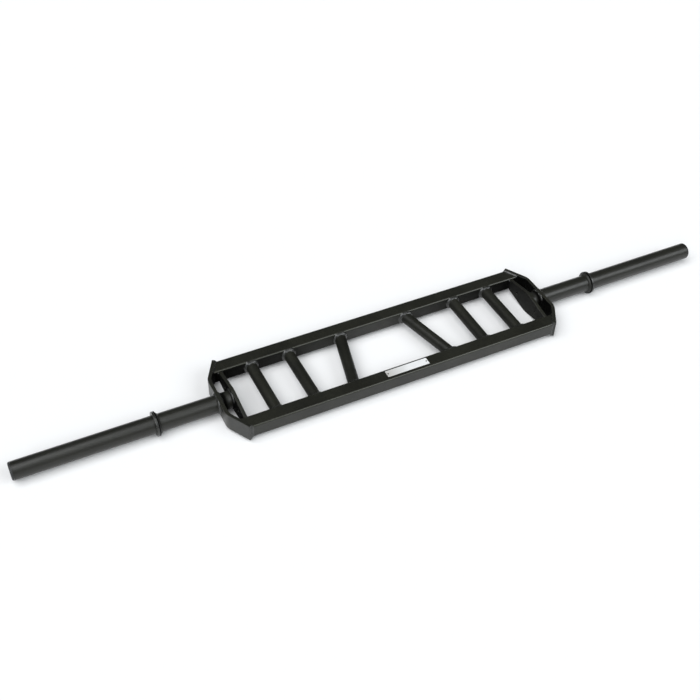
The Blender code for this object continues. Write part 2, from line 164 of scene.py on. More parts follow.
# Edges where the coat is lighter, partly worn thin and partly a painted highlight: how wide, and how far
# the rounded and the true face differ there
WORN_HIGHLIT_EDGE_RADIUS = 0.0022
WORN_HIGHLIT_EDGE_SAMPLES = 4
WORN_HIGHLIT_EDGE_COSINES = (0.995, 0.90)
WORN_HIGHLIT_EDGE_LEAST = 0.25
# Slants of a box tube's rounded corners, where the coat gets a painted highlight
CORNER_SLANTS = (0.3, 0.6)

# End caps' plastic
PLASTIC_GRAIN = (1700.0, 2.0, 0.6)
PLASTIC_MARKS = (140.0, 4.0, 0.65)
PLASTIC_MARK_RANGE = (0.35, 0.7)
PLASTIC_TONES = (0.8, 1.5)
PLASTIC_GLOSS = (0.06, -0.08)
PLASTIC_BUMP = 0.4
PLASTIC_BUMP_HEIGHT = 0.00006

# Blank label on the near rail
LABEL_LOW = Vector((-0.062, -0.1196, 0))
LABEL_HIGH = Vector((0.063, -0.0966, 0))
LABEL_THICKNESS = 0.0002
LABEL_LIFT = LABEL_THICKNESS / 4
LABEL_EDGE_RADIUS = LABEL_THICKNESS / 4
LABEL_CORNER_RADIUS = 0.0016
# Painted shade on the label: full at the first x, gone at the second, and the share of the colour that it
# leaves
LABEL_SHADE_X = -0.060
LABEL_LIT_X = 0.010
LABEL_SHADE_TONE = (0.62, 0.60, 0.57)
LABEL_WAVES = (60.0, 3.0, 0.5)
LABEL_STREAKS = (1500.0, 3.0, 0.6)
LABEL_STREAK_STRETCH = (0.04, 1.0, 1.0)
LABEL_WAVE_SHARE, LABEL_STREAK_SHARE = 0.6, 0.4
LABEL_MARK_RANGE = (0.36, 0.56)
LABEL_MARK_STRENGTH = 0.35
LABEL_MARK_TONE = 0.7
LABEL_ROUGHNESS = (0.42, 0.34)
LABEL_BUMP = 0.25
LABEL_BUMP_HEIGHT = 0.00005
PIN_RADIUS = 0.0023
PIN_HEIGHT = 0.0004
PIN_SINK = PIN_HEIGHT / 4
PIN_FROM_END = 0.0045

# How finely the shapes are cut
TUBE_STEPS = 128
HANDLE_STEPS = 96
CORNER_STEPS = 12
BEND_STEPS = 20
EYE_STEPS = 48
HOLE_STEPS = 40
EDGE_STEPS = 4
SHARP_ANGLE = math.radians(40)
LEAST_CORNER = math.radians(20)
LEAST_INSET_LEAN = 0.3
MERGE_DISTANCE = 1e-6

# Studio: a wide pale floor, a dim room round it, and soft lamps above and on the near side
FLOOR_Z = cad_box[0].z
FLOOR_RADIUS = 14.0
FLOOR_SEGMENTS = 96
FLOOR_COLOR = (0.81, 0.81, 0.81)
FLOOR_GLOW_SHARE = 0.04
WHITE = (1.0, 1.0, 1.0)
ROOM_FAR_COLOR = (0.08, 0.08, 0.083)
ROOM_NEAR_COLOR = (0.30, 0.30, 0.31)
ROOM_FAR_TO_NEAR_Y = (0.25, -0.85)
HORIZON_Z = (0.02, 0.07)

# Each lamp: the way to it from the bar, half the angle that it fills in degrees, brightness and colour
LAMPS = {
    "overhead": ((-0.42, -0.14, 0.90), 31, 3.3, (0.975, 0.99, 1.0)),
    "key": ((0.48, -0.57, 0.64), 18, 3.6, (0.94, 0.98, 1.0)),
    "left fill": ((-0.62, -0.60, 0.50), 12, 5.4, (0.94, 0.97, 1.0)),
}

# Camera, worked out from the photo's straight edges
CAMERA_PLACE = Vector((-1.03061, -1.76019, 1.93327))
CAMERA_AZIMUTH = math.radians(27.4120)
CAMERA_ELEVATION = math.radians(43.7040)
CAMERA_ROLL = math.radians(1.7403)
CAMERA_LENS = 52.400
CAMERA_SENSOR = 36.0

HALF_TURN = math.pi
QUARTER_TURN = math.pi / 2
FULL_TURN = 2 * math.pi
ENDS = {"right": Matrix.Identity(4), "left": Matrix.Rotation(HALF_TURN, 4, "Y")}
FAR_TO_NEAR = Matrix.Rotation(HALF_TURN, 4, "X")

# Turns that stand a tube weld on a face: the tube leaves the face outward, inward or across the frame
LEAVES_OUTWARD = Matrix.Rotation(QUARTER_TURN, 4, "Z") @ Matrix.Rotation(QUARTER_TURN, 4, "X")
LEAVES_INWARD = Matrix.Rotation(-QUARTER_TURN, 4, "Z") @ Matrix.Rotation(QUARTER_TURN, 4, "X")
LEAVES_FAR_RAIL = Matrix.Rotation(QUARTER_TURN, 4, "X")
LEAVES_NEAR_RAIL = Matrix.Rotation(HALF_TURN, 4, "Z") @ Matrix.Rotation(QUARTER_TURN, 4, "X")


def arc(centre, radius, start, end, steps):
    """Points on a circle in the plane, from one angle to another, both ends included."""
    angles = [start + (end - start) * i / steps for i in range(steps + 1)]
    return [(centre[0] + radius * math.cos(a), centre[1] + radius * math.sin(a)) for a in angles]


def with_round_corners(outline, radius, steps):
    """A closed plane outline with an arc in place of each corner that turns by more than a few degrees."""
    points = []
    count = len(outline)
    for i in range(count):
        before, here, after = (Vector(outline[(i + k) % count]) for k in (-1, 0, 1))
        into = (here - before).normalized()
        out = (after - here).normalized()
        turn = into.angle_signed(out)
        if abs(turn) < LEAST_CORNER:
            points.append(tuple(here))
            continue
        reach = radius * math.tan(abs(turn) / 2)
        side = -1 if turn > 0 else 1
        centre = here - into * reach + Vector((-into.y, into.x)) * radius * side
        start = here - into * reach - centre
        for k in range(steps + 1):
            spoke = start.copy()
            spoke.rotate(Matrix.Rotation(-turn * k / steps, 2))
            points.append(tuple(centre + spoke))
    return points


def skin(bm, rings, closed):
    """Quads between neighbouring rings of points. It returns the rings' vertices."""
    loops = [[bm.verts.new(point) for point in ring] for ring in rings]
    pairs = list(zip(loops, loops[1:]))
    if closed:
        pairs.append((loops[-1], loops[0]))
    for first, second in pairs:
        count = len(first)
        for i in range(count):
            j = (i + 1) % count
            bm.faces.new((first[i], first[j], second[j], second[i]))
    return loops


def turned(profile, steps):
    """A closed outline of (x, radius) points spun about the X axis."""
    bm = bmesh.new()
    rings = []
    for i in range(steps):
        turn = FULL_TURN * i / steps
        rings.append([(x, r * math.sin(turn), r * math.cos(turn)) for x, r in profile])
    skin(bm, rings, True)
    bmesh.ops.remove_doubles(bm, verts=bm.verts, dist=MERGE_DISTANCE)
    return bm


def inset(loop, distance):
    """A plane loop moved to its left by a distance, so a loop that runs anticlockwise shrinks."""
    moved = []
    count = len(loop)
    for i in range(count):
        before, here, after = (Vector(loop[(i + k) % count]) for k in (-1, 0, 1))
        into = (here - before).normalized()
        out = (after - here).normalized()
        normal = (Vector((-into.y, into.x)) + Vector((-out.y, out.x))).normalized()
        lean = max(LEAST_INSET_LEAN, normal.dot(Vector((-into.y, into.x))))
        moved.append(tuple(here + normal * distance / lean))
    return moved


def area_of(loop):
    """The area inside a plane loop, below 0 where it runs clockwise."""
    pairs = zip(loop, loop[1:] + loop[:1])
    return sum(a[0] * b[1] - b[0] * a[1] for a, b in pairs) / 2


def plate(outline, holes, low, high, radius, to_space):
    """A flat plate between two levels, with holes, and with a rounding on every edge. to_space gives the
    place of a point of the outline at a level."""
    loops = [outline if area_of(outline) > 0 else outline[::-1]]
    loops += [hole if area_of(hole) < 0 else hole[::-1] for hole in holes]
    bm = bmesh.new()
    rims = ([], [])
    for loop in loops:
        quarter = [QUARTER_TURN * k / EDGE_STEPS for k in range(EDGE_STEPS + 1)]
        steps = [(radius * (1 - math.sin(a)), low + radius * (1 - math.cos(a))) for a in quarter]
        steps += [(d, high + low - level) for d, level in reversed(steps)]
        rings = [[to_space(u, v, level) for u, v in inset(loop, d)] for d, level in steps]
        made = skin(bm, rings, False)
        rims[0].append(made[0])
        rims[1].append(made[-1])
    for rim in rims:
        edges = []
        for ring in rim:
            edges += [bm.edges.get(pair) for pair in zip(ring, ring[1:] + ring[:1])]
        bmesh.ops.triangle_fill(bm, use_beauty=True, use_dissolve=False, edges=edges)
    return bm


def show(node, bm, material, matrix=None):
    """Stands a finished mesh in for a CAD node, in the bar's frame."""
    if matrix is not None:
        bmesh.ops.transform(bm, matrix=matrix, verts=bm.verts)
    bmesh.ops.recalc_face_normals(bm, faces=bm.faces)
    name = f"{node}_finish"
    mesh = bpy.data.meshes.new(name)
    bm.to_mesh(mesh)
    bm.free()
    mesh.shade_smooth()
    mesh.set_sharp_from_angle(angle=SHARP_ANGLE)
    mesh.materials.append(material)
    piece = bpy.data.objects.new(name, mesh)
    bpy.context.scene.collection.objects.link(piece)
    flat_faces = piece.modifiers.new("flat faces stay flat", "WEIGHTED_NORMAL")
    flat_faces.keep_sharp = True
    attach(piece, "root")
    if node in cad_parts:
        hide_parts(node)
    return piece


class Nodes:
    """A short way to write a material's node tree."""

    def __init__(self, tree):
        self.tree = tree
        self.tree.nodes.clear()

    def add(self, kind, inputs=None, **settings):
        node = self.tree.nodes.new(kind)
        for key, value in settings.items():
            setattr(node, key, value)
        for key, value in (inputs or {}).items():
            if isinstance(value, bpy.types.NodeSocket):
                self.tree.links.new(value, node.inputs[key])
            else:
                node.inputs[key].default_value = value
        return node

    def noise(self, coords, scale, detail, roughness):
        made = self.add(
            "ShaderNodeTexNoise",
            {"Vector": coords, "Scale": scale, "Detail": detail, "Roughness": roughness},
        )
        return made.outputs["Fac"]

    def span(self, value, low, high, new_low=0.0, new_high=1.0):
        """The value with the range low to high stretched to a new range, and kept inside it."""
        made = self.add(
            "ShaderNodeMapRange",
            {"Value": value, "From Min": low, "From Max": high, "To Min": new_low, "To Max": new_high},
        )
        return made.outputs["Result"]

    def math(self, operation, first, second=0.0):
        made = self.add("ShaderNodeMath", {0: first, 1: second}, operation=operation)
        return made.outputs[0]

    def times(self, first, second):
        return self.math("MULTIPLY", first, second)

    def sum_of(self, total, *others):
        for other in others:
            total = self.math("ADD", total, other)
        return total

    def parts(self, vector):
        """A vector's X, Y and Z."""
        return self.add("ShaderNodeSeparateXYZ", {0: vector}).outputs

    def mix(self, share, first, second):
        """A colour between two. A colour mix has them on its seventh and eighth sockets."""
        made = self.add("ShaderNodeMix", {"Factor": share}, data_type="RGBA")
        for key, value in ((6, first), (7, second)):
            if isinstance(value, bpy.types.NodeSocket):
                self.tree.links.new(value, made.inputs[key])
            else:
                made.inputs[key].default_value = (*value, 1.0)
        return made.outputs[2]


def new_nodes(name):
    material = bpy.data.materials.new(name)
    material.use_nodes = True
    return material, Nodes(material.node_tree)


def surface(nodes, base, gloss, height, strength, distance, **others):
    """The end of a material's nodes: its shader, with a bump whose full height is the distance."""
    bump = nodes.add("ShaderNodeBump", {"Strength": strength, "Distance": distance, "Height": height})
    inputs = {"Base Color": base, "Roughness": gloss, "Normal": bump.outputs["Normal"], **others}
    shader = nodes.add("ShaderNodeBsdfPrincipled", inputs)
    nodes.add("ShaderNodeOutputMaterial", {"Surface": shader.outputs["BSDF"]})


def scaled(color, factor):
    return tuple(c * factor for c in color)


def painted_shade_mask(nodes, place, normal, upright, deep, most):
    """Up to 1 inside the frame and 0 outside it: where the coat gets painted shade. Upright gives the
    slopes at which a face is not and is fully in the painted shade. Deep gives two distances from the bar's
    middle with the mask's value at the first, and at the second it reaches the most."""
    parts = nodes.parts(place)
    x = nodes.math("ABSOLUTE", parts["X"])
    y = nodes.math("ABSOLUTE", parts["Y"])
    up = nodes.math("ABSOLUTE", nodes.parts(normal)["Z"])
    wing = nodes.math("MAXIMUM", nodes.math("SUBTRACT", y, WING_Y), 0.0)
    reach = nodes.math("ADD", x, nodes.times(wing, math.tan(END_PLATE_ANGLE)))
    between_rails = nodes.span(y, INSIDE_Y + RECESS_BLEND, INSIDE_Y)
    between_ends = nodes.span(reach, INSIDE_X + RECESS_BLEND, INSIDE_X)
    mask = nodes.times(between_rails, between_ends)
    mask = nodes.times(mask, nodes.span(up, *upright))
    return nodes.times(mask, nodes.span(x, *deep, most))


def inner_shade_band(nodes, place, reach, radius):
    """1 on what is nearer to the bar's middle than the reach and farther from its axis than the radius: the
    band of painted shade on each collar's inner face.
    """
    parts = nodes.parts(place)
    x = nodes.math("ABSOLUTE", parts["X"])
    squares = [nodes.times(parts[axis], parts[axis]) for axis in "YZ"]
    from_axis = nodes.math("SQRT", nodes.math("ADD", *squares))
    near = nodes.span(x, reach + RECESS_BLEND, reach)
    return nodes.times(near, nodes.span(from_axis, radius - RECESS_BLEND, radius))


def pin_pricks(nodes, coords):
    """1 on specks that lie in a few small areas."""
    cells = nodes.add("ShaderNodeTexVoronoi", {"Vector": coords, "Scale": SPECK_SCALE}, feature="F1")
    specks = nodes.span(cells.outputs["Distance"], *SPECK_SIZE, 1.0, 0.0)
    rare = nodes.span(nodes.noise(coords, *SPECK_AREAS), *SPECK_AREA_RANGE)
    return nodes.times(specks, rare)


def worn_and_highlit_edges(nodes, smudges, wear_and_highlight):
    """Up to the wear and highlight share along edges, where a rounded version of the piece faces another
    way, and patchy. It marks where the coat is lighter, partly as a thinner coat and partly as a painted
    highlight.
    """
    bevel = nodes.add("ShaderNodeBevel", {"Radius": WORN_HIGHLIT_EDGE_RADIUS}, samples=WORN_HIGHLIT_EDGE_SAMPLES)
    true_normal = nodes.add("ShaderNodeNewGeometry").outputs["True Normal"]
    both = {0: bevel.outputs["Normal"], 1: true_normal}
    along = nodes.add("ShaderNodeVectorMath", both, operation="DOT_PRODUCT")
    edge = nodes.span(along.outputs["Value"], *WORN_HIGHLIT_EDGE_COSINES)
    edge = nodes.times(edge, nodes.span(smudges, *NARROW_RANGE, WORN_HIGHLIT_EDGE_LEAST))
    return nodes.times(edge, wear_and_highlight)


def corner_highlights(nodes, normal):
    """1 on the rounded corners of a box tube along X, and 0 on its flat sides: where the coat gets a
    painted highlight.
    """
    parts = nodes.parts(normal)
    slant = nodes.math(
        "MINIMUM", nodes.math("ABSOLUTE", parts["Y"]), nodes.math("ABSOLUTE", parts["Z"])
    )
    return nodes.span(slant, *CORNER_SLANTS)


def powder_coat(
    name, color, roughness, grain=1.0, wear_and_highlight=0.5, shift=0.0, shade_band=None,
    upright=(0.75, 0.35), deep=(0.05, 0.45, 0.15), most=1.0, specular=0.5, mottle=1.0, corners=False,
):
    """Black powder coat over steel: a fine orange peel, slow clouds of tone and gloss, pin-prick specks,
    and edges that are lighter, partly a thinner coat and partly a painted highlight; corners adds a painted
    highlight along a box tube's rounded corners. Inside the frame a painted shade darkens the tone and
    weakens the sheen, and the coat is duller there. The shift moves the patterns, so that no two coats look
    alike where they meet. Upright, deep and most are those of the painted shade, and a shade band is one
    more painted shade."""
    material, nodes = new_nodes(name)
    texture_coords = nodes.add("ShaderNodeTexCoord").outputs
    place, normal = texture_coords["Object"], texture_coords["Normal"]
    # painted shade inside the frame and, where given, on the shade band
    painted_shade = painted_shade_mask(nodes, place, normal, upright, deep, most)
    if shade_band:
        painted_shade = nodes.math("MAXIMUM", painted_shade, inner_shade_band(nodes, place, *shade_band))
    moved = {"Vector": place, "Location": (shift, 2 * shift, -shift)}
    coords = nodes.add("ShaderNodeMapping", moved).outputs["Vector"]

    clouds = nodes.noise(coords, *CLOUDS)
    smudges = nodes.noise(coords, *SMUDGES)
    blotches = nodes.noise(coords, *BLOTCHES)
    peel = nodes.noise(coords, *PEEL)
    dust = nodes.noise(coords, *DUST)
    specks = pin_pricks(nodes, coords)
    edge = worn_and_highlit_edges(nodes, smudges, wear_and_highlight)
    # painted highlight along the rounded corners of the rails
    if corners:
        edge = nodes.math("MAXIMUM", edge, corner_highlights(nodes, normal))

    tone = nodes.sum_of(
        nodes.times(clouds, CLOUD_SHARE),
        nodes.times(smudges, SMUDGE_SHARE),
        nodes.times(blotches, BLOTCH_SHARE),
    )
    dark, light = scaled(color, 1 - BLOTCH_DARKER * mottle), scaled(color, 1 + BLOTCH_LIGHTER * mottle)
    base = nodes.mix(nodes.span(tone, *TONE_RANGE), dark, light)
    base = nodes.mix(nodes.times(specks, SPECK_STRENGTH), base, scaled(color, SPECK_TONE))
    # lighter edges: a thinner coat and a painted highlight
    base = nodes.mix(edge, base, scaled(color, THIN_COAT_AND_HIGHLIGHT_TONE))
    # painted shade: a darker tone and a weaker sheen inside the frame
    base = nodes.mix(painted_shade, base, scaled(color, RECESS_SHADE_TONE))
    shaded_sheen = nodes.mix(painted_shade, WHITE, scaled(WHITE, RECESS_SHADE_SHEEN))

    uneven = BLOTCH_GLOSS * mottle
    gloss = nodes.sum_of(
        nodes.span(smudges, *MIDDLE_RANGE, *(roughness + more for more in SMUDGE_GLOSS)),
        nodes.times(painted_shade, RECESS_DULLNESS),
        nodes.span(dust, *MIDDLE_RANGE, -DUST_GLOSS, DUST_GLOSS),
        nodes.span(blotches, *NARROW_RANGE, -uneven, uneven),
        nodes.times(edge, -EDGE_GLOSS),
    )
    height = nodes.sum_of(
        peel,
        nodes.times(dust, DUST_HEIGHT),
        nodes.times(blotches, BLOTCH_HEIGHT * mottle),
        nodes.times(specks, SPECK_HEIGHT),
    )
    others = {"Specular Tint": shaded_sheen, "IOR": COAT_IOR, "Specular IOR Level": specular}
    surface(nodes, base, gloss, height, COAT_BUMP * grain, COAT_BUMP_HEIGHT, **others)
    return material


def moulded_plastic(name, color, roughness):
    """Matt moulded plastic: a fine spark-eroded grain and faint handling marks."""
    material, nodes = new_nodes(name)
    coords = nodes.add("ShaderNodeTexCoord").outputs["Object"]
    grain = nodes.noise(coords, *PLASTIC_GRAIN)
    marks = nodes.noise(coords, *PLASTIC_MARKS)
    dark, light = (scaled(color, factor) for factor in PLASTIC_TONES)
    base = nodes.mix(nodes.span(marks, *PLASTIC_MARK_RANGE), dark, light)
    gloss = nodes.span(marks, *MIDDLE_RANGE, *(roughness + more for more in PLASTIC_GLOSS))
    surface(nodes, base, gloss, grain, PLASTIC_BUMP, PLASTIC_BUMP_HEIGHT)
    return material


def label_film(name, color):
    """A pale brushed film: fine streaks along the bar, a slight unevenness from the coat below, and a
    painted shade that makes it greyer and warmer towards its left end."""
    material, nodes = new_nodes(name)
    place = nodes.add("ShaderNodeTexCoord").outputs["Object"]
    waves = nodes.noise(place, *LABEL_WAVES)
    stretched = nodes.add("ShaderNodeMapping", {"Vector": place, "Scale": LABEL_STREAK_STRETCH})
    streaks = nodes.noise(stretched.outputs["Vector"], *LABEL_STREAKS)
    # painted shade, greyer and warmer towards the left end
    dull = tuple(c * share for c, share in zip(color, LABEL_SHADE_TONE))
    bright = nodes.span(nodes.parts(place)["X"], LABEL_SHADE_X, LABEL_LIT_X)
    base = nodes.mix(bright, dull, color)
    marks = nodes.sum_of(nodes.times(waves, LABEL_WAVE_SHARE), nodes.times(streaks, LABEL_STREAK_SHARE))
    marks = nodes.span(marks, *LABEL_MARK_RANGE, LABEL_MARK_STRENGTH, 0.0)
    base = nodes.mix(marks, base, scaled(color, LABEL_MARK_TONE))
    gloss = nodes.span(waves, *MIDDLE_RANGE, *LABEL_ROUGHNESS)
    surface(nodes, base, gloss, streaks, LABEL_BUMP, LABEL_BUMP_HEIGHT)
    return material


# Each coat's upright, deep, most and shade band say where it gets painted shade inside the frame; corners
# gives the rails a painted highlight along their rounded corners
RAIL_COAT = powder_coat("rail coat", (0.0108, 0.0112, 0.0078), 0.34, specular=0.43, corners=True)
HANDLE_COAT = powder_coat(
    "handle coat", (0.0102, 0.0106, 0.0076), 0.38, grain=1.2, shift=3.0, specular=0.32, mottle=1.2,
    upright=(0.85, 0.5), deep=(0.05, 0.45, 0.2), most=0.55,
)
PLATE_COAT = powder_coat(
    "plate coat", (0.0106, 0.0110, 0.0078), 0.34, wear_and_highlight=0.7, shift=7.0, deep=(0.456, 0.461, 0.7)
)
SLEEVE_COAT = powder_coat(
    "sleeve coat", (0.0104, 0.0107, 0.0078), 0.35, wear_and_highlight=0.4, shift=11.0, specular=0.45, mottle=0.6,
    upright=ALL_ROUND, deep=(0.472, 0.482, 0.0),
)
# A lighter copy of the coat: a painted highlight on the collars' rims, with painted shade in the shade band
# on their inner face
LIT_COLLAR_COAT = powder_coat(
    "lit collar coat", (0.0150, 0.0154, 0.0134), 0.28, wear_and_highlight=0.6, shift=13.0, shade_band=COLLAR_SHADE_BAND,
    specular=0.6,
)
# A darker copy of the weld coat: painted shade on the collar welds, in the corner behind each collar; the
# label's pins share it
COLLAR_WELD_SHADE_AND_PIN_COAT = powder_coat(
    "collar weld coat", (0.0085, 0.0086, 0.0066), 0.45, grain=0.6, wear_and_highlight=0.3, shift=19.0, specular=0.32
)
WELD_COAT = powder_coat(
    "weld coat", (0.0112, 0.0117, 0.0102), 0.25, grain=0.6, wear_and_highlight=0.3, shift=17.0, mottle=0.5,
    deep=(0.40, 0.44, 0.0), specular=0.62,
)
CAP_PLASTIC = moulded_plastic("cap plastic", (0.014, 0.0145, 0.015), 0.48)
LABEL_FILM = label_film("label film", (0.74, 0.75, 0.75))


def edge_drop(y, half_width, radius):
    """How far a face whose edges are rounded has fallen away at y from its middle line."""
    past_flat = min(abs(y) - (half_width - radius), radius)
    return radius - math.sqrt(radius**2 - past_flat**2) if past_flat > 0 else 0.0


def wobble(rng):
    """A smooth function of a share of the bead's length, between -1 and 1, that meets itself."""
    waves = [
        (rng.randint(*WOBBLE_TURNS), rng.uniform(0, FULL_TURN), rng.uniform(WOBBLE_LEAST_WAVE, 1))
        for _ in range(WOBBLE_WAVES)
    ]
    total = sum(size for _, _, size in waves)
    return lambda u: sum(s * math.sin(FULL_TURN * k * u + p) for k, p, s in waves) / total


def station(root, foot, leg, drop=0.0, foot_root=None, crown=None):
    """One cut through a weld. Foot and leg each give the way along their face, the length on it and the
    way into it, from the corner's point or, for the foot, from a point of its own. The drop is how far
    the foot's face has fallen away at the toe."""
    foot_root = foot_root or root
    if crown is None:
        crown = (foot[0] * foot[1] + leg[0] * leg[1]) * WELD_BULGE
    return {"roots": (foot_root, root), "foot": foot, "leg": leg, "drop": drop, "crown": crown}


def bead(stations, length, closed, seed, restarts):
    """A rippled weld in a corner, with a swelling at each restart. The seed makes it its own."""
    rng = random.Random(seed)
    wide, tall, rough = wobble(rng), wobble(rng), wobble(rng)
    first_restart = rng.uniform(0, 1)
    count = len(stations)
    ripples = round(length / RIPPLE_PITCH)
    rings = []
    for i, cut in enumerate(stations):
        share = i / (count if closed else count - 1)
        swell = 1.0
        for k in range(restarts):
            away = (share - first_restart - k / restarts) % 1.0
            away = min(away, 1 - away) * length
            swell += RESTART_SWELL * math.exp(-((away / RESTART_LENGTH) ** 2))
        foot_root, root = cut["roots"]
        along_foot, foot_size, into_foot = cut["foot"]
        along_leg, leg_size, into_leg = cut["leg"]
        toe = foot_root + along_foot * foot_size * (swell + LEG_WOBBLE * wide(share))
        toe += into_foot * (WELD_SINK + cut["drop"])
        top = root + along_leg * leg_size * (swell + LEG_WOBBLE * tall(share)) + into_leg * WELD_SINK
        crown = cut["crown"] * swell
        ring = [foot_root + (into_foot + into_leg) * WELD_SINK * 2]
        for j in range(BEAD_FACETS + 1):
            t = j / BEAD_FACETS
            phase = ripples * share + RIPPLE_CURL * (2 * t - 1) ** 2 + RIPPLE_UNEVENNESS * rough(share)
            crest = abs(math.sin(math.pi * phase)) ** RIPPLE_SHARPNESS
            across = RIPPLE_MARGIN + (1 - 2 * RIPPLE_MARGIN) * t
            dip = RIPPLE_DEPTH * (1 - crest) * math.sin(math.pi * across)
            point = toe.lerp(top, t) + crown * 4 * t * (1 - t)
            ring.append(point - crown.normalized() * dip)
        rings.append(ring)
    bm = bmesh.new()
    made = skin(bm, rings, closed)
    if not closed:
        bm.faces.new(made[0])
        bm.faces.new(made[-1])
    return bm


def steps_for(length):
    """How many cuts a bead of this length needs to show its ripples."""
    return round(length / RIPPLE_PITCH) * RIPPLE_STEPS


def tube_weld(radius, angle, leg, seed, face, restarts):
    """The weld round a tube that stands on the plane z = 0 and leans by an angle towards +X. A face, given
    as its half width along Y and the radius of its rounded edges, shortens the legs that would pass its
    edge."""
    axis = Vector((math.sin(angle), 0, math.cos(angle)))
    across = Vector((math.cos(angle), 0, -math.sin(angle)))
    length = FULL_TURN * (radius + leg / 2)
    stations = []
    count = steps_for(length)
    for i in range(count):
        turn = FULL_TURN * i / count
        normal = across * math.cos(turn) + Vector((0, math.sin(turn), 0))
        root = normal * radius - axis * (radius * normal.z / math.cos(angle))
        outward = Vector((normal.x, normal.y, 0)).normalized()
        face_leg = leg
        drop = 0.0
        if face:
            half_width, edge_radius = face
            room = half_width - WELD_EDGE_SHARE * edge_radius - abs(root.y)
            if room < leg * abs(outward.y):
                face_leg = max(LEAST_WELD_LEG, room / abs(outward.y))
            drop = edge_drop(root.y + outward.y * face_leg, half_width, edge_radius)
        foot = (outward, face_leg, Vector((0, 0, -1)))
        stations.append(station(root, foot, (axis, (leg + face_leg) / 2, -normal), drop))
    return bead(stations, length, True, seed, restarts)


def rounded_box_section(width, height, radius, steps):
    """(point, normal) pairs round a box section, in the plane of its width and height."""
    points = []
    for corner, (sy, sz) in enumerate(((1, 1), (-1, 1), (-1, -1), (1, -1))):
        centre = (sy * (width / 2 - radius), sz * (height / 2 - radius))
        start = corner * QUARTER_TURN
        normals = arc((0, 0), 1.0, start, start + QUARTER_TURN, steps)
        points += [((centre[0] + radius * n[0], centre[1] + radius * n[1]), n) for n in normals]
    return points


def even_section(width, height, radius, count):
    """The same pairs at an even spacing round the section."""
    corners = rounded_box_section(width, height, radius, CORNER_STEPS)
    marks = [0.0]
    for (a, _), (b, _) in zip(corners, corners[1:] + corners[:1]):
        marks.append(marks[-1] + math.dist(a, b))
    pairs = []
    k = 0
    for i in range(count):
        distance = marks[-1] * i / count
        while marks[k + 1] < distance:
            k += 1
        share = (distance - marks[k]) / (marks[k + 1] - marks[k])
        (a, na), (b, nb) = corners[k], corners[(k + 1) % len(corners)]
        point = tuple(p + (q - p) * share for p, q in zip(a, b))
        normal = Vector([p + (q - p) * share for p, q in zip(na, nb)]).normalized()
        pairs.append((point, tuple(normal)))
    return pairs, marks[-1]


def rail_weld(width, height, plate_half_height, plate_end_y, seed):
    """The weld round a rail's mitred end. Its origin is on the plate's face, in line with the rail's
    middle. On the rail's outer side the plate ends, and the weld folds over onto the plate's square end."""
    slope = math.tan(END_PLATE_ANGLE)
    into_plate = Vector((math.cos(END_PLATE_ANGLE), math.sin(END_PLATE_ANGLE), 0))
    into_end = Vector((math.sin(END_PLATE_ANGLE), -math.cos(END_PLATE_ANGLE), 0))
    perimeter = 2 * (width + height) - (8 - FULL_TURN) * RAIL_CORNER_RADIUS
    section, length = even_section(width, height, RAIL_CORNER_RADIUS, steps_for(perimeter))
    stations = []
    for (y, z), (ny, nz) in section:
        normal = Vector((0, ny, nz))
        root = Vector((-y * slope, y, z))
        outward = (normal - into_plate * normal.dot(into_plate)).normalized()
        plate_leg = RAIL_WELD_LEG
        room = plate_half_height - PLATE_EDGE_RADIUS - abs(z)
        if room < plate_leg * abs(outward.z):
            plate_leg = max(LEAST_WELD_LEG, room / abs(outward.z))
        leg = (Vector((-1, 0, 0)), RAIL_WELD_LEG, -normal)
        if y + outward.y * plate_leg < plate_end_y:
            stations.append(station(root, (outward, plate_leg, into_plate), leg))
            continue
        to_fold = (plate_end_y - y) / outward.y
        past_fold = plate_leg - max(0.0, to_fold)
        across_end = into_plate * outward.xy.length + Vector((0, 0, outward.z))
        foot = (across_end, past_fold, into_end)
        crown = normal * 2 * WELD_BULGE * RAIL_WELD_LEG
        stations.append(station(root, foot, leg, 0.0, root + outward * to_fold, crown))
    return bead(stations, length, True, seed, LONG_BEAD_RESTARTS)


def seam_weld(height, seed):
    """An upright weld in the corner between an inner plate and a rail, which leaves along +X and -Y."""
    half = height / 2 - PLATE_EDGE_RADIUS
    count = steps_for(2 * half)
    stations = []
    for i in range(count + 1):
        z = half * (2 * i / count - 1)
        from_end = half - abs(z)
        leg = SEAM_WELD_LEG * (1 - SEAM_END_TAPER * max(0.0, 1 - from_end / SEAM_WELD_LEG) ** 2)
        along_rail, along_plate = Vector((1, 0, 0)), Vector((0, -1, 0))
        foot = (along_rail, leg, -along_plate)
        stations.append(station(Vector((0, 0, z)), foot, (along_plate, leg, -along_rail)))
    return bead(stations, 2 * half, False, seed, SEAM_RESTARTS)


def make_rails():
    low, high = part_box("rail_far")
    width, height = high.y - low.y, high.z - low.z
    middle_y = (high.y + low.y) / 2

    def end_x(y):
        return high.x - (y + width / 2) * math.tan(END_PLATE_ANGLE)

    outer = rounded_box_section(width, height, RAIL_CORNER_RADIUS, CORNER_STEPS)
    bore_radius = RAIL_CORNER_RADIUS - RAIL_WALL
    inner = rounded_box_section(width - 2 * RAIL_WALL, height - 2 * RAIL_WALL, bore_radius, CORNER_STEPS)
    for node, turn in (("rail_far", Matrix.Identity(4)), ("rail_near", FAR_TO_NEAR)):
        rings = []
        for section, side in ((outer, -1), (outer, 1), (inner, 1), (inner, -1)):
            rings.append([(side * end_x(y), y + middle_y, z) for (y, z), _ in section])
        bm = bmesh.new()
        skin(bm, rings, True)
        show(node, bm, RAIL_COAT, turn)


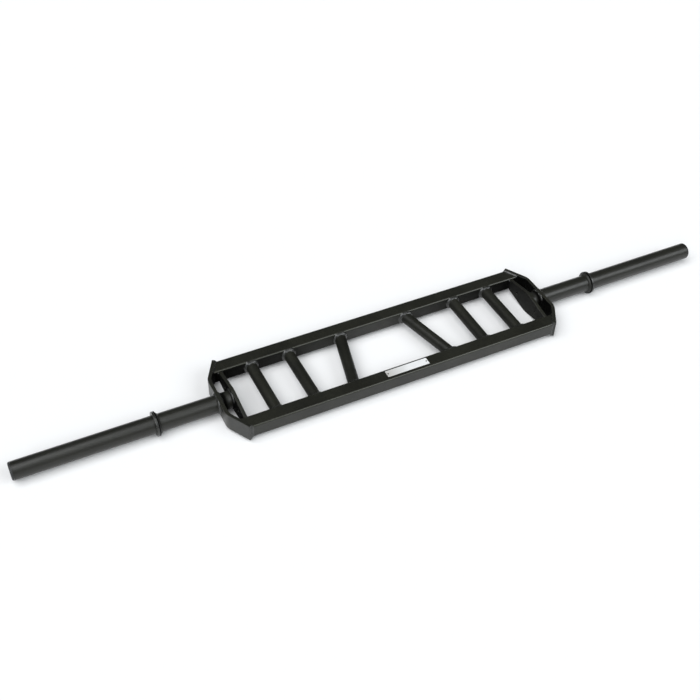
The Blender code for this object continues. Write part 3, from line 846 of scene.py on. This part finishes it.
def handle(low, high, angle):
    """A straight tube between the two rails, cut along both rails' inner faces."""
    axis = Vector((-math.sin(angle), math.cos(angle), 0))
    across = Vector((math.cos(angle), math.sin(angle), 0))
    radius = (high.z - low.z) / 2
    end_y = high.y
    rings = []
    for r, side in ((radius, -1), (radius, 1), (radius - HANDLE_WALL, 1), (radius - HANDLE_WALL, -1)):
        ring = []
        for x_part, z_part in arc((0, 0), r, 0, FULL_TURN, HANDLE_STEPS)[:-1]:
            point = across * x_part + Vector((0, 0, z_part))
            ring.append(point + axis * ((side * end_y - point.y) / math.cos(angle)))
        rings.append(ring)
    bm = bmesh.new()
    skin(bm, rings, True)
    return bm


def make_handles():
    rail_low, rail_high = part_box("rail_far")
    face = ((rail_high.z - rail_low.z) / 2, RAIL_CORNER_RADIUS)
    for kind, angle in (("outer", 0.0), ("middle", 0.0), ("angled", HANDLE_ANGLE)):
        low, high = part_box(f"handle_{kind}_right")
        x = (low.x + high.x) / 2
        shift = rail_low.y * math.tan(angle)
        for side, end in ENDS.items():
            name = f"handle_{kind}_{side}"
            show(name, handle(low, high, angle), HANDLE_COAT, end @ Matrix.Translation((x, 0, 0)))
            for where, place, turn in (
                ("far", (x - shift, rail_low.y, 0), LEAVES_FAR_RAIL),
                ("near", (x + shift, -rail_low.y, 0), LEAVES_NEAR_RAIL),
            ):
                node = f"weld_{name}_{where}"
                size = ((high.z - low.z) / 2, angle, HANDLE_WELD_LEG)
                weld = tube_weld(*size, node, face, HANDLE_RESTARTS)
                show(node, weld, WELD_COAT, end @ Matrix.Translation(place) @ turn)


def make_end_plates():
    low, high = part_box("end_plate_right")
    rail_low, rail_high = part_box("rail_far")
    bend_y = rail_low.y - END_PLATE_BEND_TO_RAIL
    outer_radius = END_PLATE_BEND_RADIUS + END_PLATE_THICKNESS
    centre = (high.x - outer_radius, bend_y - outer_radius * math.tan(END_PLATE_ANGLE / 2))
    cos_wing, sin_wing = math.cos(END_PLATE_ANGLE), math.sin(END_PLATE_ANGLE)
    end_y = high.y + PLATE_EDGE_RADIUS * (cos_wing + sin_wing - 1)
    end_x = high.x - (end_y - bend_y) * math.tan(END_PLATE_ANGLE)
    inner_end = (end_x - END_PLATE_THICKNESS * cos_wing, end_y - END_PLATE_THICKNESS * sin_wing)
    half = arc(centre, outer_radius, 0, END_PLATE_ANGLE, BEND_STEPS)
    half += [(end_x, end_y), inner_end]
    half += arc(centre, END_PLATE_BEND_RADIUS, END_PLATE_ANGLE, 0, BEND_STEPS)
    outline = half + [(x, -y) for x, y in reversed(half)]
    outline = with_round_corners(outline, PLATE_EDGE_RADIUS, EDGE_STEPS)

    rail_y = (rail_low.y + rail_high.y) / 2
    inner_face_x = high.x - END_PLATE_THICKNESS / cos_wing
    inner_face_x -= (rail_y - bend_y) * math.tan(END_PLATE_ANGLE)
    for side, end in ENDS.items():
        bm = plate(outline, [], low.z, high.z, PLATE_EDGE_RADIUS, lambda x, y, z: (x, y, z))
        show(f"end_plate_{side}", bm, PLATE_COAT, end)
        for where, turn in (("far", Matrix.Identity(4)), ("near", FAR_TO_NEAR)):
            node = f"weld_rail_{where}_{side}"
            size = (rail_high.y - rail_low.y, rail_high.z - rail_low.z)
            weld = rail_weld(*size, high.z, inner_end[1] - rail_y, node)
            place = Matrix.Translation((inner_face_x, rail_y, 0))
            show(node, weld, WELD_COAT, end @ turn @ place)


def make_inner_plates():
    low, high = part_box("inner_plate_right")
    rail_low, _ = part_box("rail_far")
    end_z = INNER_PLATE_END_HEIGHT / 2
    tangent = math.atan2(end_z, high.y) + math.acos(high.z / math.hypot(high.y, end_z))
    top = [(high.y, end_z)]
    top += arc((0, 0), high.z, tangent, HALF_TURN - tangent, EYE_STEPS)
    top += [(-high.y, end_z)]
    outline = with_round_corners(top + [(-y, -z) for y, z in top], PLATE_EDGE_RADIUS, EDGE_STEPS)
    holes = [
        arc((side * HANGING_HOLE_Y, 0), HANGING_HOLE_RADIUS, FULL_TURN, 0, HOLE_STEPS)[:-1]
        for side in (-1, 1)
    ]
    for side, end in ENDS.items():
        name = f"inner_plate_{side}"
        bm = plate(outline, holes, low.x, high.x, PLATE_EDGE_RADIUS, lambda y, z, x: (x, y, z))
        show(name, bm, PLATE_COAT, end)
        for face, x, turn in (
            ("outboard", high.x, Matrix.Identity(4)),
            ("inboard", low.x, Matrix.Scale(-1, 4, (1, 0, 0))),
        ):
            for where, flip in (("far", Matrix.Identity(4)), ("near", FAR_TO_NEAR)):
                node = f"weld_{name}_{where}_{face}"
                place = end @ flip @ Matrix.Translation((x, rail_low.y, 0)) @ turn
                show(node, seam_weld(INNER_PLATE_END_HEIGHT, node), WELD_COAT, place)


def pipe(low, high):
    """A tube as long and as wide as a box, with the sleeves' wall and rounded lips."""
    radius = (high.z - low.z) / 2
    bore = radius - SLEEVE_WALL
    profile = [(low.x, bore), (high.x, bore), (high.x, radius), (low.x, radius)]
    return turned(with_round_corners(profile, TUBE_LIP_RADIUS, EDGE_STEPS), TUBE_STEPS)


def make_sleeves():
    plate_low, plate_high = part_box("end_plate_right")
    eye_face_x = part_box("inner_plate_right")[1].x
    face = (plate_high.z, PLATE_EDGE_RADIUS)
    for kind in ("sleeve", "spacer_tube"):
        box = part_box(f"{kind}_right")
        for side, end in ENDS.items():
            show(f"{kind}_{side}", pipe(*box), SLEEVE_COAT, end)
    low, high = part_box("spacer_tube_right")
    radius = (high.z - low.z) / 2
    plate_inner_x = plate_high.x - END_PLATE_THICKNESS
    for side, end in ENDS.items():
        for node, x, turn, edge in (
            (f"weld_sleeve_{side}", plate_high.x, LEAVES_OUTWARD, face),
            (f"weld_spacer_{side}_outboard", plate_inner_x, LEAVES_INWARD, face),
            (f"weld_spacer_{side}_inboard", eye_face_x, LEAVES_OUTWARD, None),
        ):
            weld = tube_weld(radius, 0, SLEEVE_WELD_LEG, node, edge, LONG_BEAD_RESTARTS)
            show(node, weld, WELD_COAT, end @ Matrix.Translation((x, 0, 0)) @ turn)


def collar_profile(low, high, bore):
    """Half of a ring's section, with its two outer edges rounded."""
    edge = COLLAR_EDGE_RADIUS
    profile = [(low.x, bore)]
    profile += arc((low.x + edge, high.z - edge), edge, HALF_TURN, QUARTER_TURN, 2 * EDGE_STEPS)
    profile += arc((high.x - edge, high.z - edge), edge, QUARTER_TURN, 0, 2 * EDGE_STEPS)
    return profile + [(high.x, bore)]


def cap_profile(low, high, tube_radius):
    """Half of a cap's section: a plug with a chamfer, and a rounded head of the tube's size."""
    plug = tube_radius - SLEEVE_WALL - FIT_GAP
    head_x = high.x - CAP_HEAD_LENGTH
    foot_centre = (head_x + CAP_FOOT_RADIUS, tube_radius - CAP_FOOT_RADIUS)
    round_centre = (high.x - CAP_EDGE_RADIUS, tube_radius - CAP_EDGE_RADIUS)
    profile = [(low.x, 0), (low.x, plug - CAP_PLUG_CHAMFER), (low.x + CAP_PLUG_CHAMFER, plug)]
    profile += [(head_x, plug)]
    profile += arc(foot_centre, CAP_FOOT_RADIUS, HALF_TURN, QUARTER_TURN, EDGE_STEPS)
    profile += arc(round_centre, CAP_EDGE_RADIUS, QUARTER_TURN, 0, CORNER_STEPS)
    return profile + [(high.x, 0)]


def make_collars_and_caps():
    low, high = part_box("collar_right")
    tube_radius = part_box("sleeve_right")[1].z
    ring = collar_profile(low, high, tube_radius + FIT_GAP)
    cap = cap_profile(*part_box("end_cap_right"), tube_radius)
    for side, end in ENDS.items():
        show(f"collar_{side}", turned(ring, TUBE_STEPS), LIT_COLLAR_COAT, end)
        show(f"end_cap_{side}", turned(cap, TUBE_STEPS), CAP_PLASTIC, end)
        node = f"weld_collar_{side}"
        weld = tube_weld(tube_radius, 0, COLLAR_WELD_LEG, node, None, LONG_BEAD_RESTARTS)
        show(node, weld, COLLAR_WELD_SHADE_AND_PIN_COAT, end @ Matrix.Translation((low.x, 0, 0)) @ LEAVES_INWARD)


def pin_profile():
    """A flat dome from its foot to its top: (height, radius) points."""
    steps = [QUARTER_TURN * k / EDGE_STEPS for k in range(EDGE_STEPS + 1)]
    return [(0, 0)] + [(PIN_HEIGHT * math.sin(a), PIN_RADIUS * math.cos(a)) for a in steps]


def make_label():
    """A blank film on the near rail's top, with a small dark pin at each end."""
    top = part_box("rail_near")[1].z
    low, high = LABEL_LOW, LABEL_HIGH
    outline = [(low.x, low.y), (high.x, low.y), (high.x, high.y), (low.x, high.y)]
    outline = with_round_corners(outline, LABEL_CORNER_RADIUS, CORNER_STEPS)
    levels = (top + LABEL_LIFT, top + LABEL_THICKNESS)
    bm = plate(outline, [], *levels, LABEL_EDGE_RADIUS, lambda x, y, z: (x, y, z))
    show("label", bm, LABEL_FILM, None)
    upright = Matrix.Rotation(-QUARTER_TURN, 4, "Y")
    for side, x in (("left", low.x + PIN_FROM_END), ("right", high.x - PIN_FROM_END)):
        place = Matrix.Translation((x, (low.y + high.y) / 2, levels[1] - PIN_SINK))
        show(f"label_pin_{side}", turned(pin_profile(), HOLE_STEPS), COLLAR_WELD_SHADE_AND_PIN_COAT, place @ upright)


def make_floor():
    """The floor is lit, so that it holds the bar's shadow. Seen directly or in a reflection, part of it
    is plain white. From below it lets the eye through."""
    bm = bmesh.new()
    bmesh.ops.create_circle(bm, cap_ends=True, radius=FLOOR_RADIUS, segments=FLOOR_SEGMENTS)
    bmesh.ops.translate(bm, verts=bm.verts, vec=(0, 0, FLOOR_Z))
    mesh = bpy.data.meshes.new("floor")
    bm.to_mesh(mesh)
    bm.free()
    floor = bpy.data.objects.new("floor", mesh)
    bpy.context.scene.collection.objects.link(floor)
    material, nodes = new_nodes("pale floor")
    path = nodes.add("ShaderNodeLightPath").outputs
    seen = nodes.math("MAXIMUM", path["Is Camera Ray"], path["Is Glossy Ray"])
    seen = nodes.math("MAXIMUM", seen, path["Is Transmission Ray"])
    white = nodes.add("ShaderNodeEmission", {"Color": (*WHITE, 1.0), "Strength": 1.0})
    matt = nodes.add("ShaderNodeBsdfDiffuse", {"Color": (*FLOOR_COLOR, 1.0)})
    share = nodes.times(seen, FLOOR_GLOW_SHARE)
    lit = nodes.add("ShaderNodeMixShader", {0: share, 1: matt.outputs[0], 2: white.outputs[0]})
    behind = nodes.add("ShaderNodeNewGeometry").outputs["Backfacing"]
    through = nodes.times(behind, path["Is Camera Ray"])
    clear = nodes.add("ShaderNodeBsdfTransparent")
    both = nodes.add("ShaderNodeMixShader", {0: through, 1: lit.outputs[0], 2: clear.outputs[0]})
    nodes.add("ShaderNodeOutputMaterial", {"Surface": both.outputs[0]})
    mesh.materials.append(material)


def make_world():
    """A dim room: white at the horizon, grey on the near side and darker at the back."""
    world = bpy.data.worlds.new("studio")
    bpy.context.scene.world = world
    world.use_nodes = True
    nodes = Nodes(world.node_tree)
    direction = nodes.add("ShaderNodeTexCoord").outputs["Generated"]
    parts = nodes.parts(direction)
    near = nodes.span(parts["Y"], *ROOM_FAR_TO_NEAR_Y)
    color = nodes.mix(near, ROOM_FAR_COLOR, ROOM_NEAR_COLOR)
    above = nodes.span(parts["Z"], *HORIZON_Z)
    color = nodes.mix(above, WHITE, color)
    background = nodes.add("ShaderNodeBackground", {"Color": color, "Strength": 1.0})
    nodes.add("ShaderNodeOutputWorld", {"Surface": background.outputs[0]})


def soft_lamp(name, toward, radius, brightness, color):
    """A wide, round, far-off source, so that the floor is lit evenly. Toward points at it from the bar and
    the radius is half the angle that it fills. The brightness is that of the source itself, so a wider
    lamp gives more light."""
    data = bpy.data.lights.new(name, "SUN")
    data.angle = math.radians(2 * radius)
    data.energy = brightness * math.pi * math.sin(math.radians(radius)) ** 2
    data.color = color
    lamp = bpy.data.objects.new(name, data)
    lamp.rotation_mode = "QUATERNION"
    lamp.rotation_quaternion = Vector(toward).to_track_quat("Z", "Y")
    bpy.context.scene.collection.objects.link(lamp)


def make_camera():
    data = bpy.data.cameras.new("camera")
    data.sensor_width = CAMERA_SENSOR
    data.lens = CAMERA_LENS
    camera = bpy.data.objects.new("camera", data)
    camera.location = CAMERA_PLACE
    tilt = Matrix.Rotation(QUARTER_TURN - CAMERA_ELEVATION, 3, "X")
    turn = Matrix.Rotation(-CAMERA_AZIMUTH, 3, "Z")
    roll = Matrix.Rotation(CAMERA_ROLL, 3, "Z")
    camera.rotation_mode = "QUATERNION"
    camera.rotation_quaternion = (turn @ tilt @ roll).to_quaternion()
    bpy.context.scene.collection.objects.link(camera)
    bpy.context.scene.camera = camera


make_rails()
make_handles()
make_end_plates()
make_inner_plates()
make_sleeves()
make_collars_and_caps()
make_label()
make_floor()
make_world()
for lamp_name, settings in LAMPS.items():
    soft_lamp(lamp_name, *settings)
make_camera()
bpy.context.scene.view_settings.view_transform = "Standard"
